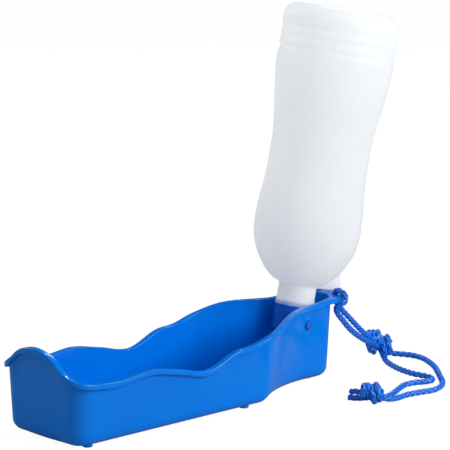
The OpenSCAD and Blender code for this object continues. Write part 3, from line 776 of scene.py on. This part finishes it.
def body_radius(s):
    if s < SHOULDER_TOP:
        t = part_way(s, NECK_TOP, SHOULDER_TOP)
        rise = mix(math.sin(math.pi / 2 * t), math.sqrt(1 - (1 - t) ** 2), SHOULDER_ROUND)
        return mix(SHOULDER_FOOT_R, SHOULDER_R, rise)
    if s < SHOULDER_TOP + WAIST_RUN:
        drawn = swell(part_way(s, SHOULDER_TOP + 2, SHOULDER_TOP + WAIST_SETTLED))
        return mix(SHOULDER_R, WAIST_R, drawn)
    flare = swell(part_way(s, SHOULDER_TOP + WAIST_RUN, FLARE_END))
    return mix(WAIST_R, BASE_R, flare) - groove_at(s)


def shoulder_point(turn_deg, t):
    """A point (radius, distance) of the shoulder's wall, drawn in by t square to it."""
    s = mix(NECK_TOP, SHOULDER_TOP, 1 - math.cos(math.radians(turn_deg)))
    slope = (body_radius(s + 0.1) - body_radius(s - 0.1)) / 0.2
    n = math.hypot(slope, 1)
    return (body_radius(s) - t / n, s + t * slope / n)


def body_line(t):
    """Points (radius, distance) of the blown body, drawn in by t, from neck to base centre."""
    line = [shoulder_point(a, t) for a in between(0, 90, 2)[:-1]]
    line += [(body_radius(s) - t, s) for s in between(SHOULDER_TOP, FLARE_END, 1.6)[:-1]]
    line += [(body_radius(s) - t, s) for s in between(FLARE_END, BASE_BEND - 0.3, 0.35)]
    line += rounded(BASE_R - t, BOTTLE_L - t, BASE_EDGE_R - t, 2, 90, 14)
    flat_r = BASE_R - BASE_EDGE_R
    line += [(flat_r * share, BOTTLE_L - BASE_HOLLOW * sink - t) for share, sink in BASE_DISH]
    return line


# %% Bottle thread and seams
SEAM_PROUD, SEAM_HALF_W, SEAMS = 0.12, 0.35, (0.25, 0.75)


def bottle_skin(radius, height, turn):
    """Adds the thread and the two mould seams to a ring."""
    r = np.full(len(turn), float(radius))
    if height < CAP_TOP - 0.6 and abs(radius - (FINISH_R - THREAD_DEPTH)) < 0.01:
        r += (THREAD_DEPTH - 0.05) * thread_ridge(height, turn, MOUTH + 0.8, CAP_TOP - 1.2, 0.0)
    elif radius > SHOULDER_FOOT_R and abs(radius - body_radius(height)) < 0.02:
        for seam in SEAMS:
            away = np.abs((turn - seam + 0.5) % 1 - 0.5) * 2 * math.pi * radius
            r += SEAM_PROUD * np.exp(-((away / SEAM_HALF_W) ** 2)) * min(1, radius / 20 - 0.6)
    return r


# %% Bottle
MOUTH_SOFT = 0.3
finish_foot = FINISH_R - THREAD_DEPTH
outside = [
    (finish_foot - MOUTH_SOFT, MOUTH),
    *rounded(finish_foot, MOUTH, MOUTH_SOFT, -60, 0, 2),
    *upright(finish_foot, MOUTH + 0.5, CAP_TOP - 0.6, 0.2),
    (finish_foot + 0.1, CAP_TOP - 0.3),
    (NECK_R - 0.2, CAP_TOP),
    (NECK_R, CAP_TOP + 0.3),
    *upright(NECK_R, CAP_TOP + 1, NECK_TOP - 0.6, 3),
    (NECK_R + 0.3, NECK_TOP - 0.2),
    *body_line(0),
]
finish_bore = FINISH_R - FINISH_WALL
inside = [
    (finish_bore + MOUTH_SOFT, MOUTH),
    *rounded(finish_bore, MOUTH, MOUTH_SOFT, 240, 180, 2),
    *upright(finish_bore, MOUTH + 1, NECK_TOP - 0.4, 3),
    (finish_bore + 0.3, NECK_TOP + 0.4),
    (finish_bore + 0.9, NECK_TOP + 0.9),
    *body_line(BOTTLE_WALL),
]
bottle_profile = [
    (0, BOTTLE_L - BASE_HOLLOW), *outside[::-1], *inside,
    (0, BOTTLE_L - BASE_HOLLOW - BOTTLE_WALL),
]
bottle = turned("squeeze_bottle", bottle_profile, around=256, skin=bottle_skin)
moved(bottle, ON_BOTTLE_AXIS)
shade(bottle, 40)
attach(bottle, "bottle")
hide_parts("bottle")
print("the bottle has", len(bottle.data.vertices), "points")

# %% [markdown]
# ## The neck collar
#
# A white collar snaps over the cap's rim and sleeves the bottle's neck, and the sleeve's top
# flares out under the bottle's shoulder. Behind the neck the collar carries a hollow stop block,
# open below and stiffened by one rib. The block's foot comes down on the tray's rear ledge, so
# that the standing bottle leans back just so far, and its top follows the shoulder a hair's
# breadth away. The block could be lofted to that curve, but it is easier to make it too tall and
# cut it with the body itself, grown by the gap. The plates get their rounded edges before they
# are fused, because a bevel over a finished joint tends to tear.

# %% Collar sizes
RING_R, RING_H, RING_FOOT_SOFT, RING_TOP_SOFT = 12.4, 1.4, 0.25, 0.4
SLEEVE_H, FLARE = 11.2, 1.1
STOP_HALF_W, STOP_WALL, STOP_OVER, STOP_GAP, STOP_ROOT = 7.0, 1.8, 11.1, 0.3, 4.0
SHOULDER_GAP, SLEEVE_GAP = 0.4, 0.15
ledge_edge_x = rear_wall_x + RIM_W + LEDGE_W - 1
STOP_FOOT = ((ledge_edge_x - PIVOT_X) * math.sin(LEAN)
             + (REAR_H + STOP_GAP - PIVOT_H) * math.cos(LEAN))
STOP_REACH = ((rear_wall_x + STOP_OVER - PIVOT_X - STOP_FOOT * math.sin(LEAN)) / math.cos(LEAN))
STOP_UNDER = CAP_TOP + STOP_ROOT
STOP_START = SLEEVE_BORE_R - 2

# %% Plates for the stop block


def side_plate(name, outline, half_w, soft):
    """A plate with an outline in the plane of symmetry, its edges rounded by soft mm."""
    work = bmesh.new()
    near_ring = [work.verts.new((x, -half_w, z)) for x, z in outline]
    work.faces.new(near_ring)
    pushed = bmesh.ops.extrude_face_region(work, geom=list(work.faces))
    for item in pushed["geom"]:
        if isinstance(item, bmesh.types.BMVert):
            item.co.y = half_w
    bmesh.ops.recalc_face_normals(work, faces=work.faces)
    if soft:
        bmesh.ops.bevel(work, geom=list(work.edges), offset=soft, segments=3, profile=0.5,
                        affect="EDGES")
    points = [tuple(v.co) for v in work.verts]
    work.verts.index_update()
    plate_faces = [[v.index for v in f.verts] for f in work.faces]
    work.free()
    return add_piece(name, points, plate_faces)


def stop_outline(drawn_in, *foot):
    """Side view of the stop block: the points of its foot, then up its outer face."""
    rise = SHOULDER_L - 2
    return [
        *foot,
        (STOP_REACH - drawn_in, foot[-1][1]),
        (STOP_REACH - drawn_in - rise * math.tan(LEAN), STOP_FOOT + rise),
        (STOP_START, STOP_FOOT + rise),
    ]


# %% Collar
collar_top = CAP_TOP + SLEEVE_H
ring_top = CAP_TOP + RING_H
shoulder_rise = np.arange(NECK_TOP, NECK_TOP + 8, 0.02)
shoulder_width = np.array([body_radius(z) for z in shoulder_rise])


def shoulder_under(radius):
    """Height just under the bottle's shoulder at a radius."""
    return float(np.interp(radius, shoulder_width, shoulder_rise)) - SLEEVE_GAP


flare_top = shoulder_under(SLEEVE_R + FLARE) - SLEEVE_GAP
print("the sleeve flares out under the shoulder up to", round(flare_top, 1), "mm")
collar_profile = [
    (grip_r, CAP_TOP - SKIRT_L),
    *rounded(RING_R, CAP_TOP - SKIRT_L, RING_FOOT_SOFT, 270, 360, 3),
    *rounded(RING_R, ring_top, RING_TOP_SOFT, 0, 30, 3),
    (SLEEVE_R + 0.06, ring_top + RING_TOP_SOFT),
    *upright(SLEEVE_R, ring_top + 1.0, flare_top - FLARE - 0.2, 2),
    *rounded(SLEEVE_R, flare_top, FLARE, 180, 100, 5),
    *[(r, shoulder_under(r)) for r in (SLEEVE_R + FLARE, SLEEVE_R + 0.6, SLEEVE_R + 0.2)],
    (SLEEVE_BORE_R + 0.15, collar_top),
    *upright(SLEEVE_BORE_R, collar_top - 0.2, CAP_TOP + 0.02, 3),
    (grip_r, CAP_TOP + 0.01),
]
collar = turned("neck_collar_moulding", collar_profile, around=144, closed=True)

# %% Stop block
block = side_plate("block", stop_outline(0, (STOP_START, STOP_FOOT)), STOP_HALF_W, 0.7)
hollow = side_plate("hollow", stop_outline(STOP_WALL, (STOP_START, STOP_FOOT - 2)),
                    STOP_HALF_W - STOP_WALL, 0.5)
rib = side_plate("rib", stop_outline(
    STOP_WALL / 2, (STOP_START, STOP_UNDER), (SLEEVE_BORE_R, STOP_UNDER),
    (SLEEVE_BORE_R + STOP_FOOT - STOP_UNDER, STOP_FOOT + 0.02)), STOP_WALL / 2, 0.2)
sleeve_way = drill("sleeve_way", SLEEVE_R - 0.4, -5, 90, 144)
grown_body = turned("grown_body", [(0, NECK_TOP - SHOULDER_GAP), *body_line(-SHOULDER_GAP),
                                   (0, BOTTLE_L - 1)], 192)
apply_boolean(block, "DIFFERENCE", hollow)
apply_boolean(block, "UNION", rib)
apply_boolean(block, "DIFFERENCE", sleeve_way, grown_body)
apply_boolean(collar, "UNION", block)
moved(collar, ON_BOTTLE_AXIS)
shade(collar, 30)
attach(collar, "hinge_cap")
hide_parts("neck_collar")
print("the stop block reaches", round(STOP_REACH, 1), "mm behind the neck's axis")

# %% [markdown]
# ## Valve and washer
#
# Under the bottle's mouth lie two silicone pieces: a washer that seals the screwed joint, and a
# small domed valve whose crossed slit opens when the bottle is squeezed. Both are turned; the
# slit is cut with two thin blades, which is also how the real one is made.

# %% Valve
DOME_Z = CAP_FLOOR - VALVE_FLANGE_T
DOME_R, FLANGE_SOFT = SPOUT_BORE_R - 0.15, 0.15
valve_profile = [
    (0, DOME_Z - DOME_R),
    *[(r, z) for r, z in arc((0, DOME_Z), DOME_R, -90, -4, 20)[1:]],
    *rounded(VALVE_FLANGE_R, DOME_Z, FLANGE_SOFT, 270, 360, 2),
    *rounded(VALVE_FLANGE_R, CAP_FLOOR, FLANGE_SOFT, 0, 90, 2),
    (DOME_R - VALVE_SKIN, CAP_FLOOR),
    *[(r, z) for r, z in arc((0, DOME_Z), DOME_R - VALVE_SKIN, 0, -90, 18)[:-1]],
    (0, DOME_Z - DOME_R + VALVE_SKIN),
]
valve = turned("outlet_valve_lips", valve_profile, around=64)
SLIT_HALF_L, SLIT_HALF_W = 1.4, 0.06
slit_low, slit_high = DOME_Z - DOME_R - 1, DOME_Z - 0.2
for quarter in (0, 1):
    blade = side_plate("blade", [(-SLIT_HALF_L, slit_low), (SLIT_HALF_L, slit_low),
                                 (SLIT_HALF_L, slit_high), (-SLIT_HALF_L, slit_high)],
                       SLIT_HALF_W, 0)
    moved(blade, Matrix.Rotation(quarter * math.pi / 2, 4, "Z"))
    apply_boolean(valve, "DIFFERENCE", blade)
moved(valve, ON_BOTTLE_AXIS)
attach(valve, "hinge_cap")
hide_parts("outlet_valve")
print("the valve's dome is", round(2 * DOME_R, 1), "mm across")

# %% Washer
WASHER_R, WASHER_SOFT = CAP_BORE_R - THREAD_GAP / 2, 0.3
washer_profile = [
    *rounded(WASHER_BORE_R, CAP_FLOOR + WASHER_T, WASHER_SOFT, 180, 90, 3),
    *rounded(WASHER_R, CAP_FLOOR + WASHER_T, WASHER_SOFT, 90, 0, 3),
    *rounded(WASHER_R, CAP_FLOOR, WASHER_SOFT, 0, -90, 3),
    *rounded(WASHER_BORE_R, CAP_FLOOR, WASHER_SOFT, -90, -180, 3),
]
washer = turned("sealing_washer", washer_profile, around=96, closed=True)
moved(washer, ON_BOTTLE_AXIS)
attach(washer, "seal_washer")
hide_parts("seal_washer")
print("the washer is", round(2 * WASHER_R, 1), "mm across")

# %% [markdown]
# ## Finishes
#
# The tray and the cap are blue polypropylene and the collar is white. Moulded polypropylene is
# glossy, with a very fine unevenness where it shrank from the mould. The bottle is low-density
# polyethylene, which is satin; silicone is matt; and polypropylene cord is slippery and catches
# the light on each filament. Each finish is a few nodes: a colour and a roughness that vary a
# little, and a fine bump. The cord's colour also holds painted shade in the valleys between
# yarns, painted light on their crowns and fine specks of painted glint. The noise is
# three-dimensional, so no piece needs unwrapping.
#
# The two milky plastics also pass light on: a translucent shader is mixed in, and a faint painted
# glow of the wall's own stands for what goes round inside the hollow bottle. Scattering under the
# skin could do both, but in so thin a wall it leaves the far side of the bottle grey.

# %% Node helpers


def colour(hex_code):
    """Linear RGBA from a hex code."""
    parts = [int(hex_code[i:i + 2], 16) / 255 for i in (1, 3, 5)]
    return (*[c / 12.92 if c <= 0.04045 else ((c + 0.055) / 1.055) ** 2.4 for c in parts], 1.0)


def made(tree, kind, **values):
    """A new node whose named inputs hold these values."""
    node = tree.nodes.new(kind)
    for name, value in values.items():
        node.inputs[name.replace("_", " ")].default_value = value
    return node


def grey(level):
    return (level, level, level, 1)


def joined(tree, kind, *values, operation=None):
    """The output of a new Math or Mix Shader node, fed in order by numbers and other outputs."""
    node = tree.nodes.new(kind)
    if operation:
        node.operation = operation
    for socket, value in zip(node.inputs, values):
        if isinstance(value, (int, float)):
            socket.default_value = value
        else:
            tree.links.new(value, socket)
    return node.outputs[0]


# %% Finish


class Finish:
    """A Principled material whose colour, roughness and bump each vary a little."""

    def __init__(self, name, ior=1.49):
        self.material = bpy.data.materials.new(name)
        self.material.use_nodes = True
        self.tree = self.material.node_tree
        self.nodes = self.tree.nodes
        self.shader = self.nodes["Principled BSDF"]
        self.set(IOR=ior)
        self.place = self.nodes.new("ShaderNodeTexCoord").outputs["Object"]

    def set(self, **sockets):
        for name, value in sockets.items():
            self.shader.inputs[name.replace("_", " ")].default_value = value

    def noise(self, scale, detail):
        node = made(self.tree, "ShaderNodeTexNoise", Scale=scale, Detail=detail)
        self.tree.links.new(self.place, node.inputs["Vector"])
        return node.outputs["Fac"]

    def spread(self, value, low, high, socket, start=0.3, end=0.7):
        """Spreads a value over two colours or two greys and feeds a socket with them."""
        node = self.nodes.new("ShaderNodeValToRGB")
        for element, position, shade_of in zip(node.color_ramp.elements, (start, end), (low, high)):
            element.position = position
            element.color = colour(shade_of) if isinstance(shade_of, str) else grey(shade_of)
        self.tree.links.new(value, node.inputs["Fac"])
        self.tree.links.new(node.outputs["Color"], self.shader.inputs[socket])

    def tint(self, scale, low, high, detail=3):
        self.spread(self.noise(scale, detail), low, high, "Base Color")

    def roughen(self, scale, low, high, detail=3):
        self.spread(self.noise(scale, detail), low, high, "Roughness")

    def bump(self, scale, depth_mm):
        """Adds one more layer of fine unevenness on top of those before it."""
        node = made(self.tree, "ShaderNodeBump", Distance=depth_mm * MM)
        self.tree.links.new(self.noise(scale, 2), node.inputs["Height"])
        normal = self.shader.inputs["Normal"]
        if normal.links:
            self.tree.links.new(normal.links[0].from_socket, node.inputs["Normal"])
        self.tree.links.new(node.outputs["Normal"], normal)

    def let_light_through_and_glow(self, share, tint, painted_glow):
        """Passes a share of the light on into the piece, and paints a faint glow into the wall."""
        milky = made(self.tree, "ShaderNodeBsdfTranslucent", Color=colour(tint))
        both = joined(self.tree, "ShaderNodeMixShader", share, self.shader.outputs["BSDF"],
                      milky.outputs["BSDF"])
        self.tree.links.new(both, self.nodes["Material Output"].inputs["Surface"])
        # painted glow: the wall gives off a faint warm light of its own, though it is no lamp
        self.set(Emission_Color=colour("#FFFAF3"), Emission_Strength=painted_glow)

    def on(self, *pieces, slot):
        for piece in pieces:
            piece.data.materials.clear()
            piece.data.materials.append(self.material)


# %% Blue polypropylene
tray_finish = Finish("glossy_blue_polypropylene")
tray_finish.tint(14, "#0073DA", "#0079E0")
tray_finish.roughen(60, 0.1, 0.16)
tray_finish.bump(55, 0.05)
tray_finish.bump(900, 0.006)
tray_finish.set(Specular_IOR_Level=0.22)
tray_finish.on(tray, slot="tray_plastic")

cap_finish = Finish("satin_blue_polypropylene")
cap_finish.tint(40, "#0058BE", "#0060C8")
cap_finish.roughen(90, 0.26, 0.36)
cap_finish.bump(900, 0.008)
cap_finish.on(cap, slot="cap_plastic")

# %% White and translucent plastics
collar_finish = Finish("white_polypropylene")
collar_finish.tint(50, "#ECEEF2", "#F1F3F6")
collar_finish.roughen(120, 0.28, 0.38)
collar_finish.bump(700, 0.008)
# the last number is the strength of a painted glow in the collar's wall
collar_finish.let_light_through_and_glow(0.65, "#FBFBFC", 0.14)
collar_finish.on(collar, slot="collar_plastic")

bottle_finish = Finish("natural_polyethylene", ior=1.51)
bottle_finish.tint(18, "#DDDFE1", "#E2E3E5", detail=2)
bottle_finish.roughen(70, 0.2, 0.28)
bottle_finish.bump(28, 0.12)
bottle_finish.bump(800, 0.01)
# the last number is the strength of a painted glow in the bottle's wall
bottle_finish.let_light_through_and_glow(0.75, "#FAFBFC", 0.125)
bottle_finish.on(bottle, slot="bottle_plastic")

silicone_finish = Finish("matt_silicone", ior=1.41)
silicone_finish.tint(200, "#C9CED2", "#D3D7DA")
silicone_finish.roughen(300, 0.5, 0.62)
silicone_finish.bump(1500, 0.01)
silicone_finish.on(valve, washer, slot="silicone")

# %% Braided cord
cord_finish = Finish("braided_polypropylene")
# the braid height drives painted shade in the valleys between yarns and painted light on their
# crowns
braid_node = cord_finish.nodes.new("ShaderNodeAttribute")
braid_node.attribute_name = "braid"
PAINTED_GLINT_SHARE = 0.3
# fine noise adds specks of painted glint on top of the painted light and shade
painted_yarn_light_and_shade = joined(cord_finish.tree, "ShaderNodeMath", cord_finish.noise(900, 2), PAINTED_GLINT_SHARE,
                  braid_node.outputs["Fac"], operation="MULTIPLY_ADD")
# the dark end is painted shade in the valleys and the light end is painted light on the crowns
cord_finish.spread(painted_yarn_light_and_shade, "#001858", "#147CF6", "Base Color", 0.5, 1.0)
cord_finish.roughen(1600, 0.2, 0.34, detail=2)
cord_finish.bump(3200, 0.05)
cord_finish.on(strand_a, strand_b, knot_a, knot_b, slot="cord")
print("finishes:", sorted(finish.name for finish in bpy.data.materials))

# %% [markdown]
# ## Floor and light
#
# The floor is a plain pale sheet and the background is pure white, as on a light table. The
# largest light is a soft box to the right, low enough to reach into the trough. A broad one
# behind fills the shade and shines through the bottle, a weak one high on the left softens the
# top, and a narrow strip behind draws a bright line along the rims. An even grey world fills
# the rest. Floor and world show white to the camera by Light Path and dark in reflections, so
# the lamps can stay at a plain level that doesn't wash out the blue. Seen from below the floor
# is clear, so that the underside can be looked at too.

# %% Floor
SHEET_GREY, MIRRORED_GREY, SHEET_GLOW, GLOW_SHARE = 0.6, 0.35, 1.11, 0.86
FLOOR_HALF_W, FLOOR_DROP = 4.0, 0.05 * MM
floor_mesh = bpy.data.meshes.new("floor")
floor_mesh.from_pydata([(x * FLOOR_HALF_W, y * FLOOR_HALF_W, 0)
                        for x, y in ((-1, -1), (1, -1), (1, 1), (-1, 1))], [], [(0, 1, 2, 3)])
floor = bpy.data.objects.new("floor", floor_mesh)
bpy.context.scene.collection.objects.link(floor)
floor.location = (0, 0, -FLOOR_DROP)

floor_material = bpy.data.materials.new("white_sheet")
floor_material.use_nodes = True
tree = floor_material.node_tree
sheet = tree.nodes["Principled BSDF"]
sheet.inputs["Base Color"].default_value = grey(SHEET_GREY)
sheet.inputs["Roughness"].default_value = 0.9
mirrored = made(tree, "ShaderNodeBsdfDiffuse", Color=grey(MIRRORED_GREY))
glow = made(tree, "ShaderNodeEmission", Strength=SHEET_GLOW)
clear = tree.nodes.new("ShaderNodeBsdfTransparent")
path = tree.nodes.new("ShaderNodeLightPath")
side_seen = tree.nodes.new("ShaderNodeNewGeometry")
glow_share = joined(tree, "ShaderNodeMath", path.outputs["Is Camera Ray"], GLOW_SHARE,
                    operation="MULTIPLY")
lit = joined(tree, "ShaderNodeMixShader", path.outputs["Is Glossy Ray"],
             sheet.outputs["BSDF"], mirrored.outputs["BSDF"])
seen = joined(tree, "ShaderNodeMixShader", glow_share, lit, glow.outputs["Emission"])
one_sided = joined(tree, "ShaderNodeMixShader", side_seen.outputs["Backfacing"], seen,
                   clear.outputs["BSDF"])
tree.links.new(one_sided, tree.nodes["Material Output"].inputs["Surface"])
floor_mesh.materials.append(floor_material)

# %% World
AMBIENT_LEVEL, GLOSS_LEVEL = 0.25, 0.03
world = bpy.data.worlds.new("studio")
bpy.context.scene.world = world
world.use_nodes = True
tree = world.node_tree
ambient = tree.nodes["Background"]
ambient.inputs["Color"].default_value = (0.95, 0.97, 1.0, 1)
white = made(tree, "ShaderNodeBackground", Strength=1.0)
path = tree.nodes.new("ShaderNodeLightPath")
level = joined(tree, "ShaderNodeMath", path.outputs["Is Glossy Ray"],
               GLOSS_LEVEL - AMBIENT_LEVEL, AMBIENT_LEVEL, operation="MULTIPLY_ADD")
tree.links.new(level, ambient.inputs["Strength"])
sees_white = joined(tree, "ShaderNodeMath", path.outputs["Is Camera Ray"],
                    path.outputs["Is Transmission Ray"], operation="MAXIMUM")
studio = joined(tree, "ShaderNodeMixShader", sees_white, ambient.outputs["Background"],
                white.outputs["Background"])
tree.links.new(studio, tree.nodes["World Output"].inputs["Surface"])

# %% Lamps
LAMPS_AIM = Vector((0, 0, 100)) * MM


def soft_box(name, azimuth, elevation, distance, size, power):
    """A rectangular area lamp in a direction round the object, turned towards it."""
    lamp_data = bpy.data.lights.new(name, "AREA")
    lamp_data.shape, lamp_data.size, lamp_data.size_y = "RECTANGLE", size[0], size[1]
    lamp_data.energy = power
    lamp = bpy.data.objects.new(name, lamp_data)
    stand_off(lamp, LAMPS_AIM, azimuth, elevation, distance)


soft_box("key_box", 20, 24, 1.3, (0.6, 0.6), 14.5)
soft_box("back_fill_box", -165, 30, 1.5, (0.8, 0.8), 7)
soft_box("top_box", -75, 60, 1.4, (0.8, 0.8), 3)
soft_box("rim_box", 120, 42, 1.4, (0.5, 0.12), 5)
print("lamps:", [lamp.name for lamp in bpy.data.lights])
bpy.context.scene.view_settings.view_transform = "Standard"
